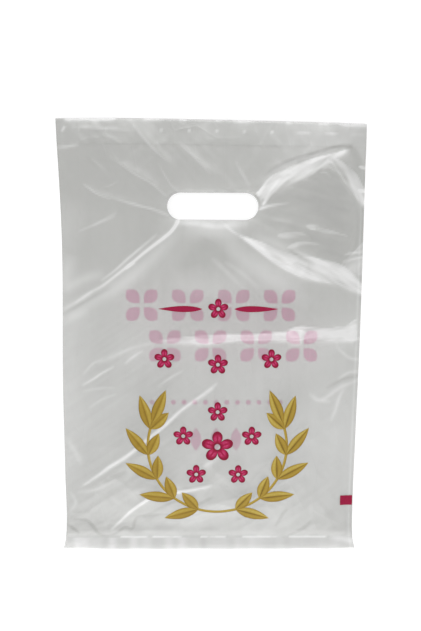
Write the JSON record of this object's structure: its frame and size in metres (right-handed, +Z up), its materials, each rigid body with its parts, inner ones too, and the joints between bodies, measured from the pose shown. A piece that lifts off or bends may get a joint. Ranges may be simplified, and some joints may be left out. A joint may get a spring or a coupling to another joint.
{
  "type": "plastic carrier bag",
  "caption": "Flat plastic carrier bag with a cut-out hand hole, turned-in mouth hem, welded bottom with a short skirt, and a plain ornamental print.",
  "frame": {"origin": "middle of the bag's back, on the surface that the bag lies on", "axes": "+X to the right across the printed front, +Y towards the mouth, +Z up out of the printed front"},
  "size_m": [0.25, 0.36, 0.0114],
  "materials": {
    "film": "milky translucent polyethylene film, satin, creased",
    "gold_ink": "gold-coloured flexo ink on film",
    "crimson_ink": "crimson flexo ink on film"
  },
  "bodies": {
    "root": {"bag": "film", "print_wreath": "gold_ink", "print_divider_left": "crimson_ink", "print_divider_right": "crimson_ink", "print_register_mark": "crimson_ink", "print_blossom_1": "crimson_ink", "print_blossom_2": "crimson_ink", "print_blossom_3": "crimson_ink", "print_blossom_4": "crimson_ink", "print_blossom_5": "crimson_ink", "print_blossom_6": "crimson_ink", "print_blossom_7": "crimson_ink", "print_blossom_8": "crimson_ink", "print_blossom_9": "crimson_ink", "print_blossom_10": "crimson_ink"}
  },
  "joints": []
}
